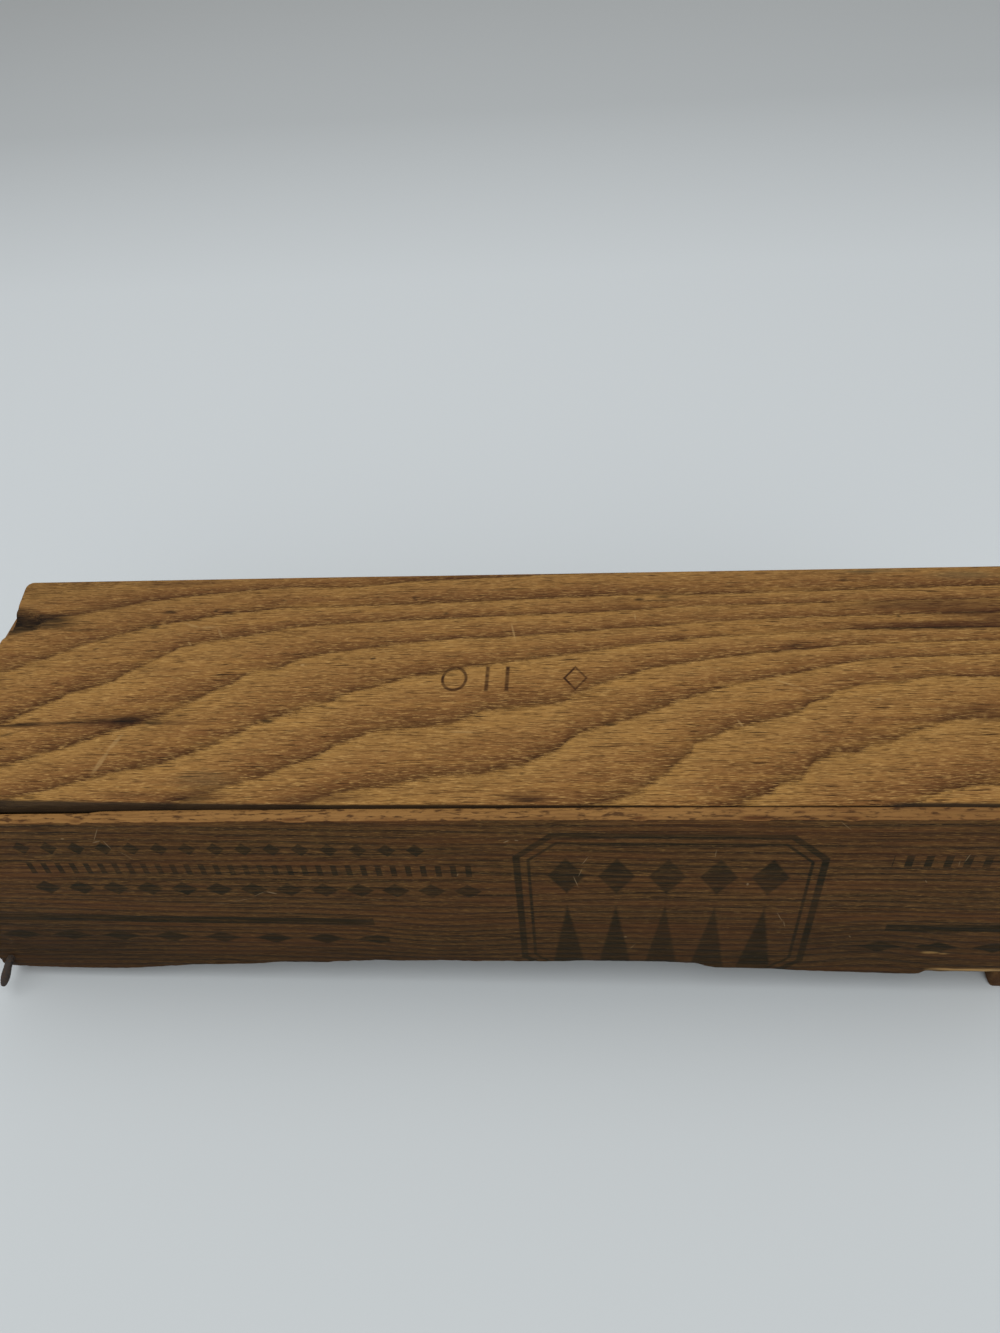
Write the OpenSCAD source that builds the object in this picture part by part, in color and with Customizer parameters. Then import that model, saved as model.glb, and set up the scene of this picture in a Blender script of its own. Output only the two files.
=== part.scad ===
// Wooden loaf crate for cheese, lying on its open side with the bottom board uppermost.
// Two thick end boards carry thin side boards and a bottom board, all fastened with wire nails.
// X runs along the crate, the torn front side faces -Y and Z points up from the open rim.

/* [Crate] */
// Length over the outer faces of the end boards
crate_l = 298; // [240:1:380]
// Width over the outer faces of the side boards
crate_w = 95; // [80:1:140]
// Height from the open rim to the outer face of the bottom board
crate_h = 81; // [72:1:120]

/* [Boards] */
// Thickness of the end boards
end_t = 9.5; // [8:0.5:14]
// Thickness of the side boards
side_t = 3.3; // [2.6:0.1:5]
// Thickness of the bottom board
bottom_t = 4.5; // [3.5:0.1:7]
// Gap left in front of the bottom board where it has shrunk
front_gap = 0.3; // [0.1:0.1:1.2]
// Gap behind the bottom board
back_gap = 0.1; // [0:0.05:0.6]

/* [Nails] */
// Diameter of a nail's shank
nail_d = 2.2; // [1.6:0.1:2.6]
// Diameter of a nail's head
nail_head_d = 4.2; // [3.4:0.1:5]
// Thickness of a nail's head
nail_head_t = 0.7; // [0.5:0.1:1]
// Length of a nail under its head
nail_l = 22; // [18:1:26]
// Room between a nail and the wood that it was driven into
nail_fit = 0.05; // [0.02:0.01:0.1]
// Distance from the crate's end to the nails in the side boards
side_nail_inset = 4.7; // [4:0.1:5]
// Height of the lowest row of side nails above the open rim
side_nail_low = 20; // [18:1:26]
// Room between the top side nails and the points of the bottom nails
nail_room = 4; // [3:0.5:8]
// Distance from the crate's end to the nails in the bottom board
bottom_nail_inset = 5.6; // [5:0.1:6]
// Distance from the bottom board's edges to its outer nails
bottom_nail_edge = 18.5; // [16:0.5:24]
// Diameter of the empty holes that the lid's nails left in the rim
lid_hole_d = 1.8; // [1.4:0.1:2.2]
// Depth of the holes that the lid's nails left
lid_hole_l = 14; // [10:1:18]
// Distance from the side boards to the holes that the lid's nails left
lid_hole_edge = 24; // [22:1:30]

/* [Bent nail] */
// Height of the bent nail above the open rim
bent_z = 11; // [9:0.5:13]
// Distance from the crate's left end to the bent nail
bent_x = 3; // [2.5:0.1:3.5]
// Length of the bent nail that is still in the end board
bent_grip = 15; // [10:1:20]
// Straight length that stands out of the side board before the bend
bent_out = 0.6; // [0.3:0.1:1]
// Radius of the bend along the nail's middle
bend_r = 2.4; // [2:0.1:3]
// Angle that the nail is bent down by
bend_angle = 64; // [40:1:75]
// Angle that the bent part leans to the left by
bend_lean = 19; // [0:1:25]
// Straight length after the bend
bent_tail = 6.6; // [4:0.1:7]

/* [Wear and tears] */
// How far the front side has dropped below the bottom board at the left end
front_drop = 4; // [1:0.1:5]
// Height of the front side's torn edge above the rim near the left end
torn_low = 5.4; // [3:0.1:6]
// How much higher the tear runs where it is deepest
torn_rise = 8.6; // [4:0.1:10]
// Height of the ledge that the tear leaves inside the board at the right end
ledge_h = 1.2; // [0.5:0.1:2]
// Thickness of that ledge
ledge_t = 1.6; // [1:0.1:2]
// Depth of the sliver that has split off the back side's upper edge
sliver_d = 3.4; // [1:0.1:4]
// Length of back side that still has its full height at the right end
sliver_keep = 50; // [20:1:80]
// Depth of the rotted notch in the bottom board's left end
notch_d = 4.7; // [2:0.1:5]
// Depth of the rotted pit around the nail beside the notch
pit_d = 1.8; // [1:0.1:2.5]
// Length of the chip off the front side's inner arris at the left end
chip_l = 52; // [20:1:90]
// Thickness of that chip
chip_t = 0.6; // [0.2:0.1:1]
// Height of that chip
chip_h = 2.5; // [1:0.1:4]
// Width of the worn bevel on the bottom board's front edge at the left end
bevel_w = 2.2; // [1:0.1:4]
// Depth of that bevel at the left end
bevel_d = 2; // [1:0.1:3]
// Length over which the bevel fades
bevel_l = 118; // [60:1:180]
// Width of the splintered bevel at the right end
splinter_w = 1.6; // [0.5:0.1:2.5]
// Depth of the splintered bevel
splinter_d = 1.5; // [0.5:0.1:2.5]
// Length of the splintered bevel
splinter_l = 58; // [30:1:90]
// Radius worn onto the long arrises of the end boards' rim
rim_r = 3; // [1:0.1:3.8]
// Radius worn onto the corners of the end boards' rim
corner_r = 2; // [0.5:0.1:3]

/* [Hidden] */
$fn = 48;

// A cutter reaches this far past the face that it cuts
over = 1;
nail_r = nail_d / 2;
head_r = nail_head_d / 2;
hole_r = nail_r + nail_fit;
// Length of a nail's tapered point
point_l = 2 * nail_d;
nails_per_row = 3;

// Heights and depths that the boards share
end_h = crate_h - bottom_t;
inner_w = crate_w - 2 * side_t;
board_front = side_t + front_gap;
board_back = crate_w - side_t - back_gap;
side_nail_high = crate_h - nail_l - nail_room;

// The bent nail's reach in front of the crate, so that the origin stays under the middle of the whole part
bent_reach = bent_out + bend_r * sin(bend_angle) + bent_tail * cos(bend_angle) + nail_r;

// The front side's torn lower edge, as shares of the length and of the rise of the tear
torn_edge = [[0, 0.03], [0.1, 0], [0.145, 0.13], [0.19, 0.3], [0.24, 0.37], [0.285, 0.55], [0.375, 0.78],
             [0.51, 0.92], [0.635, 1], [0.68, 0.93], [0.722, 0.66], [0.805, 0.62], [0.845, 0.47],
             [0.885, 0.52], [0.925, 0.7], [0.97, 0.93], [1, 1]];
// The bottom board's worn left end from the back, as shares of the notch's depth and of the board's width
worn_end = [[0.36, 0], [0.15, 0.012], [0.12, 0.03], [0.26, 0.047], [0.6, 0.16], [1, 0.267],
            [0.9, 0.29], [0.75, 0.32], [0.2, 0.42], [0, 0.55]];
// Steps of the curve along the front side's upper edge
edge_steps = 16;

wood_worn = "#8a6438";
wood_dark = "#4a3422";
wood_end = "#6b4a2c";
iron_rusted = "#3d3029";

// Height of the front side's upper edge at x: it sinks towards the left end
function front_top(x) = crate_h - front_drop * pow(1 - x / crate_l, 2);

function row_z(i) = side_nail_low + i * (side_nail_high - side_nail_low) / (nails_per_row - 1);

function bottom_row_y(i) =
    board_front + bottom_nail_edge
    + i * (board_back - board_front - 2 * bottom_nail_edge) / (nails_per_row - 1);

// Puts the crate's front left rim corner in its place beside the origin
module crate_frame() {
    translate([-crate_l / 2, (bent_reach - crate_w) / 2, 0]) children();
}

// Flat shape in X and Z, given as X and Z, made t thick from the plane y towards the back
module upright(y, t) {
    translate([0, y + t, 0]) rotate([90, 0, 0]) linear_extrude(t) children();
}

// One nail along -Z with the top of its head at the origin
module nail() {
    shank_l = nail_head_t + nail_l - point_l;
    translate([0, 0, -nail_head_t]) cylinder(h = nail_head_t, r = head_r);
    translate([0, 0, -shank_l]) cylinder(h = shank_l, r = nail_r);
    translate([0, 0, -shank_l - point_l]) cylinder(h = point_l, r1 = nail_fit, r2 = nail_r);
}

// The hole that one nail fills, from above the face to past its point
module nail_hole() {
    translate([0, 0, -nail_head_t - nail_fit]) cylinder(h = nail_head_t + nail_fit + over, r = head_r + nail_fit);
    translate([0, 0, -nail_head_t - nail_l - nail_fit]) cylinder(h = nail_l + over, r = hole_r);
}

// Places its child at every nail of the bottom board; the nail by the rotted notch has sunk into the pit
module at_bottom_nails() {
    for (side = [0, 1], i = [0 : nails_per_row - 1]) {
        in_pit = side == 0 && i == nails_per_row - 1;
        x = side == 0 ? bottom_nail_inset : crate_l - bottom_nail_inset;
        translate([x, bottom_row_y(i), crate_h - (in_pit ? pit_d : 0)]) children();
    }
}

// Places its child at the nails of the front side; on the left the bent nail takes the lowest place
module at_front_nails() {
    for (side = [0, 1], i = [1 - side : nails_per_row - 1]) {
        x = side == 0 ? side_nail_inset : crate_l - side_nail_inset;
        translate([x, 0, row_z(i)]) rotate([90, 0, 0]) children();
    }
}

module at_back_nails() {
    for (side = [0, 1], i = [0 : nails_per_row - 1]) {
        x = side == 0 ? side_nail_inset : crate_l - side_nail_inset;
        translate([x, crate_w, row_z(i)]) rotate([-90, 0, 0]) children();
    }
}

// The hole of the bent nail's grip, through the front side into the left end board
module bent_nail_hole() {
    translate([bent_x, -over, bent_z]) rotate([-90, 0, 0])
        cylinder(h = over + side_t + bent_grip + nail_fit, r = hole_r);
}

// Outline of the bottom board seen from above, with its rotted left end
module bottom_outline() {
    board_w = board_back - board_front;
    left_points = [for (p = worn_end) [notch_d * p[0], board_back - board_w * p[1]]];
    polygon(concat([[0, board_front], [crate_l, board_front], [crate_l, board_back]], left_points));
}

// The pit in the bottom board's upper face around the sunken nail
module pit_outline() {
    y = bottom_row_y(nails_per_row - 1);
    reach = bottom_nail_inset + head_r;
    polygon([[-over, y - 5], [reach - 1, y - 4.4], [reach + 0.9, y - 1.6], [reach + 1.6, y + 0.6],
             [reach + 0.2, y + 3.2], [reach - 2.2, y + 4.6], [-over, y + 5]]);
}

// Everything outside one flat bevel that cuts the corner of three faces at the origin and fades along X
module worn_bevel() {
    normal = [1 / bevel_l, 1 / bevel_w, -1 / bevel_d];
    tilt = acos(normal[2] / norm(normal));
    turn = atan2(normal[1], normal[0]);
    block = 3 * bevel_l;
    translate([0, bevel_w, 0]) rotate([0, tilt, turn]) translate([-block / 2, -block / 2, -block]) cube(block);
}

// Strip torn from the front arris at the right end, with a short slope where it starts
module splintered_bevel() {
    rotate([90, 0, 90]) linear_extrude(splinter_l + over)
        polygon([[-over, -splinter_d], [0, -splinter_d], [splinter_w, 0], [splinter_w, over], [-over, over]]);
}

module bottom_board() {
    color(wood_worn) crate_frame() difference() {
        translate([0, 0, end_h]) linear_extrude(bottom_t) bottom_outline();
        translate([0, 0, crate_h - pit_d]) linear_extrude(pit_d + over) pit_outline();
        translate([0, board_front, crate_h]) worn_bevel();
        translate([crate_l - splinter_l, board_front, crate_h]) splintered_bevel();
        at_bottom_nails() nail_hole();
    }
}

module front_side() {
    steps = [for (i = [edge_steps : -1 : 0]) i / edge_steps * crate_l];
    top_points = [for (x = steps) [x, front_top(x)]];
    inner_tear = [for (p = torn_edge) [p[0] * crate_l, torn_low + torn_rise * p[1]]];
    outer_tear = [for (p = torn_edge) [p[0] * crate_l, torn_low + torn_rise * p[1] + (p[0] > 0.9 ? ledge_h : 0)]];
    color(wood_dark) crate_frame() difference() {
        union() {
            upright(0, side_t - ledge_t) polygon(concat(outer_tear, top_points));
            upright(side_t - ledge_t, ledge_t) polygon(concat(inner_tear, top_points));
        }
        translate([-over, side_t - chip_t, front_top(0) - chip_h])
            cube([chip_l + over, chip_t + over, chip_h + front_drop + over]);
        at_front_nails() nail_hole();
        bent_nail_hole();
    }
}

module back_side() {
    split = crate_h - sliver_d;
    keep_x = crate_l - sliver_keep;
    color(wood_dark) crate_frame() difference() {
        upright(crate_w - side_t, side_t)
            polygon([[0, 0], [crate_l, 0], [crate_l, crate_h], [keep_x, crate_h],
                     [keep_x - 3 * sliver_d, split], [0, split]]);
        at_back_nails() nail_hole();
    }
}

// Rim profile of an end board across its thickness, with both arrises worn round
module end_profile() {
    translate([rim_r, 0]) square([end_t - 2 * rim_r, end_h]);
    translate([0, rim_r]) square([end_t, end_h - rim_r]);
    for (x = [rim_r, end_t - rim_r]) translate([x, rim_r]) circle(rim_r);
}

// Face of an end board with its two rim corners worn round
module end_face() {
    translate([corner_r, 0]) square([inner_w - 2 * corner_r, end_h]);
    translate([0, corner_r]) square([inner_w, end_h - corner_r]);
    for (y = [corner_r, inner_w - corner_r]) translate([y, corner_r]) circle(corner_r);
}

module end_board(x) {
    intersection() {
        translate([x, 0, 0]) upright(side_t, inner_w) end_profile();
        translate([x, side_t, 0]) rotate([90, 0, 90]) linear_extrude(end_t) end_face();
    }
}

module lid_holes(x) {
    for (y = [side_t + lid_hole_edge, crate_w - side_t - lid_hole_edge])
        translate([x, y, -over]) cylinder(h = lid_hole_l + over, d = lid_hole_d);
}

module left_end() {
    color(wood_end) crate_frame() difference() {
        end_board(0);
        at_bottom_nails() nail_hole();
        at_front_nails() nail_hole();
        at_back_nails() nail_hole();
        bent_nail_hole();
        lid_holes(end_t / 2);
    }
}

module right_end() {
    color(wood_end) crate_frame() difference() {
        end_board(crate_l - end_t);
        at_bottom_nails() nail_hole();
        at_front_nails() nail_hole();
        at_back_nails() nail_hole();
        lid_holes(crate_l - end_t / 2);
    }
}

module bottom_nails() {
    color(iron_rusted) crate_frame() at_bottom_nails() nail();
}

module front_nails() {
    color(iron_rusted) crate_frame() at_front_nails() nail();
}

module back_nails() {
    color(iron_rusted) crate_frame() at_back_nails() nail();
}

// Straight grip in the wood, a bend in front of the side board and a tail with a blunt, rounded end
module bent_nail() {
    grip_l = bent_grip + side_t + bent_out;
    color(iron_rusted) crate_frame()
        translate([bent_x, -bent_out, bent_z]) rotate([90, 0, -90]) rotate([-bend_lean, 0, 0]) {
            translate([-grip_l + point_l, 0, 0]) rotate([0, 90, 0]) cylinder(h = grip_l - point_l, r = nail_r);
            translate([-grip_l, 0, 0]) rotate([0, 90, 0]) cylinder(h = point_l, r1 = nail_fit, r2 = nail_r);
            translate([0, -bend_r, 0]) {
                rotate([0, 0, 90]) rotate_extrude(angle = -bend_angle) translate([bend_r, 0]) circle(nail_r);
                rotate([0, 0, -bend_angle]) translate([0, bend_r, 0]) {
                    rotate([0, 90, 0]) cylinder(h = bent_tail, r = nail_r);
                    translate([bent_tail, 0, 0]) sphere(nail_r);
                }
            }
        }
}

bottom_board();
front_side();
back_side();
left_end();
right_end();
bottom_nails();
front_nails();
back_nails();
bent_nail();
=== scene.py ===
import math

import bpy
import numpy as np
from mathutils import Matrix, Vector


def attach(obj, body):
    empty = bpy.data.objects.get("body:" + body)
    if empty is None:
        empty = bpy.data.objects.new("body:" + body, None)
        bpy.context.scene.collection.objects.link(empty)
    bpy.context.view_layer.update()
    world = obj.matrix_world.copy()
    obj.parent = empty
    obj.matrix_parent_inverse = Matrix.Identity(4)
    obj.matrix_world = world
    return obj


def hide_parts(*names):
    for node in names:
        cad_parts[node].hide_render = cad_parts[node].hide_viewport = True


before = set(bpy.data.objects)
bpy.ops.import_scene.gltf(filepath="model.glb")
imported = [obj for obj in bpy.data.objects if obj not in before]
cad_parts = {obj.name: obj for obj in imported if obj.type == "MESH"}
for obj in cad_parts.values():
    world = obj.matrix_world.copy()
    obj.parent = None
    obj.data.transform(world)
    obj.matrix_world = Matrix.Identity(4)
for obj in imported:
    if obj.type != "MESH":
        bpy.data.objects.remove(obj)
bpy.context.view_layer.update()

# The view: the crate is seen from above its torn front side, a little from the right, at 44 degrees
# down, as the photograph shows it. The lens gives the photograph's 1009 pixels of focal length.
PHOTO_TALL = 1333
FOCAL_PIXELS = 1009.2
SENSOR = 36.0
SEEN_FROM = (0.0284, -0.1916, 0.2741)
TURN, DOWN, ROLL = 6.92, 43.97, -5.34
camera = bpy.data.objects.new("camera", bpy.data.cameras.new("camera"))
camera.data.sensor_width = SENSOR
camera.data.lens = FOCAL_PIXELS / PHOTO_TALL * SENSOR
camera.data.clip_start = 0.01
camera.matrix_world = (
    Matrix.Translation(SEEN_FROM)
    @ Matrix.Rotation(math.radians(TURN), 4, "Z")
    @ Matrix.Rotation(math.radians(90 - DOWN), 4, "X")
    @ Matrix.Rotation(math.radians(ROLL), 4, "Z")
)
bpy.context.scene.collection.objects.link(camera)
bpy.context.scene.camera = camera

# The table: one pale sheet, lit by a wide soft box overhead and a weaker one from the front. Its colour
# is painted lightest some way back and greyer nearer and far back, a painted pool of light and painted
# falloff shade. The sheet is matt, so it keeps the crate's shadow.
bpy.context.scene.view_settings.view_transform = "Standard"


def linear(hex_code):
    """An sRGB hex colour as Blender's linear numbers."""
    parts = [int(hex_code[i : i + 2], 16) / 255 for i in (1, 3, 5)]
    return [c / 12.92 if c <= 0.04045 else ((c + 0.055) / 1.055) ** 2.4 for c in parts] + [1.0]


def add(tree, kind, inputs=None, output=0, **settings):
    """Adds one shader node and returns an output; each input is a number, a colour or an output."""
    made = tree.nodes.new("ShaderNode" + kind)
    for key, value in settings.items():
        setattr(made, key, value)
    for key, value in (inputs or {}).items():
        if isinstance(value, bpy.types.NodeSocket):
            tree.links.new(value, made.inputs[key])
        else:
            made.inputs[key].default_value = value
    return made.outputs[output]


def set_tones(ramp, tones):
    """Gives a colour ramp these places and colours."""
    while len(ramp.elements) < len(tones):
        ramp.elements.new(0.5)
    for element, (at, tone) in zip(ramp.elements, tones):
        element.position = at
        element.color = linear(tone)


sheet_mesh = bpy.data.meshes.new("table_sheet")
sheet_mesh.from_pydata([(-4, -3, 0), (4, -3, 0), (4, 5, 0), (-4, 5, 0)], [], [(0, 1, 2, 3)])
table_sheet = bpy.data.objects.new("table_sheet", sheet_mesh)
bpy.context.scene.collection.objects.link(table_sheet)
matt_sheet = bpy.data.materials.new("matt_paper_sheet")
matt_sheet.use_nodes = True
tree = matt_sheet.node_tree
depth = add(tree, "SeparateXYZ", {0: add(tree, "TexCoord", output="Object")}, output="Y")
sheet_tone_and_painted_falloff = add(tree, "ValToRGB", {0: add(tree, "MapRange", {0: depth, 1: -0.3, 2: 1.5})})
# Painted light and shade along the sheet's depth: lightest about half a metre back, greyer in front and
# further off
SHEET_TONES_AND_PAINTED_FALLOFF = ((0.0, "#C2C8CA"), (0.2, "#CCD2D5"), (0.42, "#D1D7DA"), (0.62, "#C0C5C7"), (1.0, "#C6CACB"))
set_tones(sheet_tone_and_painted_falloff.node.color_ramp, SHEET_TONES_AND_PAINTED_FALLOFF)
surface = tree.nodes["Principled BSDF"].inputs
surface["Roughness"].default_value = 0.9
surface["Specular IOR Level"].default_value = 0.2
tree.links.new(sheet_tone_and_painted_falloff, surface["Base Color"])
sheet_mesh.materials.append(matt_sheet)

LAMPS = (
    # name, place, aims at, side of the square, watts
    ("soft_box_above", (-0.2, -0.15, 1.5), (0.0, 0.0, 0.0), 1.6, 14.0),
    ("soft_box_front", (0.3, -1.3, 1.0), (0.0, -0.1, 0.0), 1.3, 8.0),
)
for name, place, aim, side, watts in LAMPS:
    lamp = bpy.data.lights.new(name, "AREA")
    lamp.energy = watts
    lamp.size = side
    box = bpy.data.objects.new(name, lamp)
    box.location = place
    box.rotation_euler = (Vector(aim) - Vector(place)).to_track_quat("-Z", "Y").to_euler()
    bpy.context.scene.collection.objects.link(box)
world = bpy.data.worlds.new("pale_room")
bpy.context.scene.world = world
world.use_nodes = True
tree = world.node_tree
sky = tree.nodes["Background"]
# The world lights as white, and is seen as the pale grey of the room's wall
rays = add(tree, "LightPath").node.outputs
seen = add(tree, "Math", {0: rays["Is Camera Ray"], 1: rays["Is Glossy Ray"]}, operation="MAXIMUM")
shown = add(tree, "Mix", {0: seen, 6: linear("#FFFFFF"), 7: linear("#B4B9BB")}, output=2, data_type="RGBA")
tree.links.new(shown, sky.inputs["Color"])
tree.links.new(add(tree, "MapRange", {0: seen, 3: 0.4, 4: 1.0}), sky.inputs["Strength"])

# The bottom board: one flat-sawn pine board, 298 x 88 x 4.5 mm, nailed onto the crate's other
# boards with the crate upside down. It is handled smooth, stained by iron at the nails, and its
# left end has rotted away around one nail. Places are in mm from the crate's front left corner.
CRATE_L, CRATE_W, CRATE_H = 298.0, 95.0, 81.0
CORNER = np.array((-149.0, -44.125, 0.0))
END_T, SIDE_T, BOTTOM_T = 9.5, 3.3, 4.5
BOARD_FRONT, BOARD_BACK = 3.6, 91.6
ARRIS = (0.0, 0.15, 0.35, 0.65, 1.1)


def steps(start, end, step):
    """Places from start to end, a step apart and closer at both arrises."""
    near = np.array(ARRIS)
    count = round((end - start - 2 * near[-1]) / step)
    middle = np.linspace(start + near[-1], end - near[-1], count + 1)
    return np.concatenate([start + near[:-1], middle, end - near[:-1][::-1]])


def value_noise(x, y, seed):
    """Smooth random heights from 0 to 1 whose bumps are one unit apart."""
    table = np.random.default_rng(seed).random((64, 64))
    i, j = np.floor(x).astype(int), np.floor(y).astype(int)
    u, v = x - i, y - j
    u, v = u * u * (3 - 2 * u), v * v * (3 - 2 * v)
    a, b = table[i % 64, j % 64], table[(i + 1) % 64, j % 64]
    c, d = table[i % 64, (j + 1) % 64], table[(i + 1) % 64, (j + 1) % 64]
    return (a * (1 - u) + b * u) * (1 - v) + (c * (1 - u) + d * u) * v


def smooth(low, high, x):
    """Rises smoothly from 0 at low to 1 at high."""
    t = np.clip((x - low) / (high - low), 0, 1)
    return t * t * (3 - 2 * t)


def sawn_board(name, xs, ys, zs, radius, shape):
    """A closed board on a grid of places in mm, with arrises worn round, then moved by shape."""
    counts = (len(xs), len(ys), len(zs))
    i, j, k = np.indices(counts)
    skin = (i == 0) | (i == counts[0] - 1) | (j == 0) | (j == counts[1] - 1) | (k == 0) | (k == counts[2] - 1)
    number = np.full(counts, -1)
    number[skin] = np.arange(skin.sum())
    p = np.stack([xs[i[skin]], ys[j[skin]], zs[k[skin]]], 1)
    core = np.clip(p, p.min(0) + radius, p.max(0) - radius)
    away = p - core
    p = shape(core + radius * away / np.linalg.norm(away, axis=1)[:, None])
    sides = ((number[:, :, 0], 0), (number[:, :, -1], 1), (number[0], 0), (number[-1], 1),
             (number[:, 0], 1), (number[:, -1], 0))
    faces = []
    for grid, flip in sides:
        quads = np.stack([grid[:-1, :-1], grid[:-1, 1:], grid[1:, 1:], grid[1:, :-1]], -1).reshape(-1, 4)
        faces.append(quads[:, ::-1] if flip else quads)
    mesh = bpy.data.meshes.new(name)
    mesh.from_pydata(((p + CORNER) / 1000).tolist(), [], np.concatenate(faces).tolist())
    mesh.shade_smooth()
    piece = bpy.data.objects.new(name, mesh)
    bpy.context.scene.collection.objects.link(piece)
    return piece, p


# Lower edges of the dark latewood bands on the board's face, from the back to the front, as x, y
LATEWOOD = (
    ((0, 83), (11, 85.5), (36, 89.5), (45, 92), (298, 102)),
    ((0, 70), (20, 74.5), (33, 77.8), (42, 80.6), (53, 82.5), (74, 85.3), (87, 86.7), (106, 86), (123, 88.3),
     (131, 89), (170, 91), (298, 94)),
    ((0, 45), (16, 53.3), (20, 55), (28, 60.5), (35, 63.9), (47, 68.9), (58, 71.7), (69, 74.4), (88, 77),
     (105, 77.2), (125, 77.8), (151, 78.9), (188, 80.5), (215, 80.2), (240, 81.2), (298, 82.5)),
    ((0, 22), (20, 31), (26, 36), (31, 39.4), (33, 41.7), (39, 43.3), (44, 46), (47, 49.4), (54, 55),
     (60, 60), (67, 62.2), (72, 63.3), (80, 65), (92, 68.3), (100, 69.2), (114, 70), (136, 71.2), (151, 72),
     (179, 73), (201, 75), (230, 75.8), (298, 77)),
    ((0, 6), (25, 15), (35, 19.4), (42, 22.8), (49, 26.1), (55, 29), (64, 33.3), (67, 36.1), (72, 39.4),
     (74, 41.7), (78, 44), (82, 48.3), (85, 49.7), (91, 50.6), (94, 53.3), (98, 55.5), (103, 56.7),
     (112, 58.3), (120, 59.7), (139, 62.5), (157, 63), (179, 65.3), (201, 67.2), (227, 69.4), (257, 70.3),
     (298, 71.2)),
    ((0, -6), (33, 5), (43, 8.3), (52, 11.7), (61, 14.4), (66, 15), (72, 18.3), (77, 20.5), (81, 22.8),
     (86, 26.1), (89, 29.4), (98, 33.3), (101, 35), (108, 37.2), (110, 39.4), (114, 41.7), (120, 43.3),
     (129, 47.2), (137, 48.4), (145, 51.1), (157, 53), (170, 55.3), (187, 58.3), (207, 61.7), (224, 63),
     (252, 64.4), (265, 65), (298, 64.7)),
    ((0, -20), (60, -2), (87, 8.3), (96, 11.7), (102, 15.5), (108, 17.8), (111, 21.1), (119, 25.5),
     (123, 27), (134, 28), (141, 29.2), (145, 31.1), (149, 33.9), (157, 35), (164, 35.5), (171, 36.7),
     (173, 39.4), (178, 42.2), (185, 45.5), (190, 47.8), (195, 50), (201, 51.1), (210, 53), (225, 55.5),
     (249, 58.3), (277, 59.4), (298, 59.4)),
    ((0, -32), (90, -3), (118, 7), (129, 8.9), (138, 11.7), (151, 12.2), (155, 13.9), (161, 15), (163, 16.7),
     (170, 20.5), (172, 23.3), (175, 26.1), (182, 28.9), (187, 30.5), (193, 33.3), (200, 36.7), (207, 40),
     (215, 42.8), (227, 46.1), (238, 48.9), (246, 51.1), (254, 52.8), (279, 53.9), (298, 55)),
    ((0, -46), (150, -8), (189, 6), (193, 10), (196, 11.7), (199, 16), (203, 19.4), (204, 22.8), (209, 24.4),
     (212, 27), (221, 29.4), (227, 31.1), (232, 33.3), (234, 36.1), (239, 37.8), (241, 40), (245, 41.7),
     (249, 42.8), (259, 43.6), (265, 45.5), (270, 46.1), (277, 45.5), (298, 45.5)),
    ((0, -60), (190, -8), (221, 6.7), (223, 9.4), (228, 10.5), (232, 16), (237, 18.9), (244, 19.4),
     (247, 21.7), (252, 22.8), (257, 25.5), (265, 28.9), (270, 30.5), (298, 30.8)),
    ((0, -75), (215, -12), (240, -4), (260, 6.7), (270, 8.9), (298, 10)),
)


def ring_count(x, y):
    """Growth rings counted from the back edge; each whole number is the edge of a latewood band."""
    rows = np.array([np.interp(x, *zip(*line)) for line in LATEWOOD])
    count = np.zeros_like(x)
    for i in range(len(rows) - 1):
        inside = (y <= rows[i]) & (y > rows[i + 1])
        count[inside] = (i + (rows[i] - y) / (rows[i] - rows[i + 1]))[inside]
    count[y <= rows[-1]] = len(rows) - 1 + 0.3
    return count + 1


# How far the rotted left end stands in from the crate's end, by the distance from the front
WORN_LEFT = ((3.6, 0.3), (42, 0), (54, 0.9), (61.6, 2.4), (62.2, 3.4), (65.2, 3.6), (65.8, 4.6),
             (67.4, 4.7), (68.6, 4.1), (71, 4.0), (77.4, 2.9), (82, 2.0), (87.5, 1.1), (89.6, 0.9),
             (90.6, 1.2), (91.3, 2.0), (91.6, 2.9))
PIT_X, PIT_Y, PIT_LONG, PIT_WIDE = 6.5, 73.1, 7.2, 4.6
PIT_ROT, PIT_DEEP = 1.3, 1.8
BEVEL_W, BEVEL_DEEP, BEVEL_L = 2.2, 2.0, 118.0
SPLINTER_W, SPLINTER_DEEP, SPLINTER_X = 1.6, 1.5, 240.0
BOTTOM_NAIL_X = (5.6, 292.4)
BOTTOM_NAIL_Y = (22.1, 47.6, 73.1)


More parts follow.
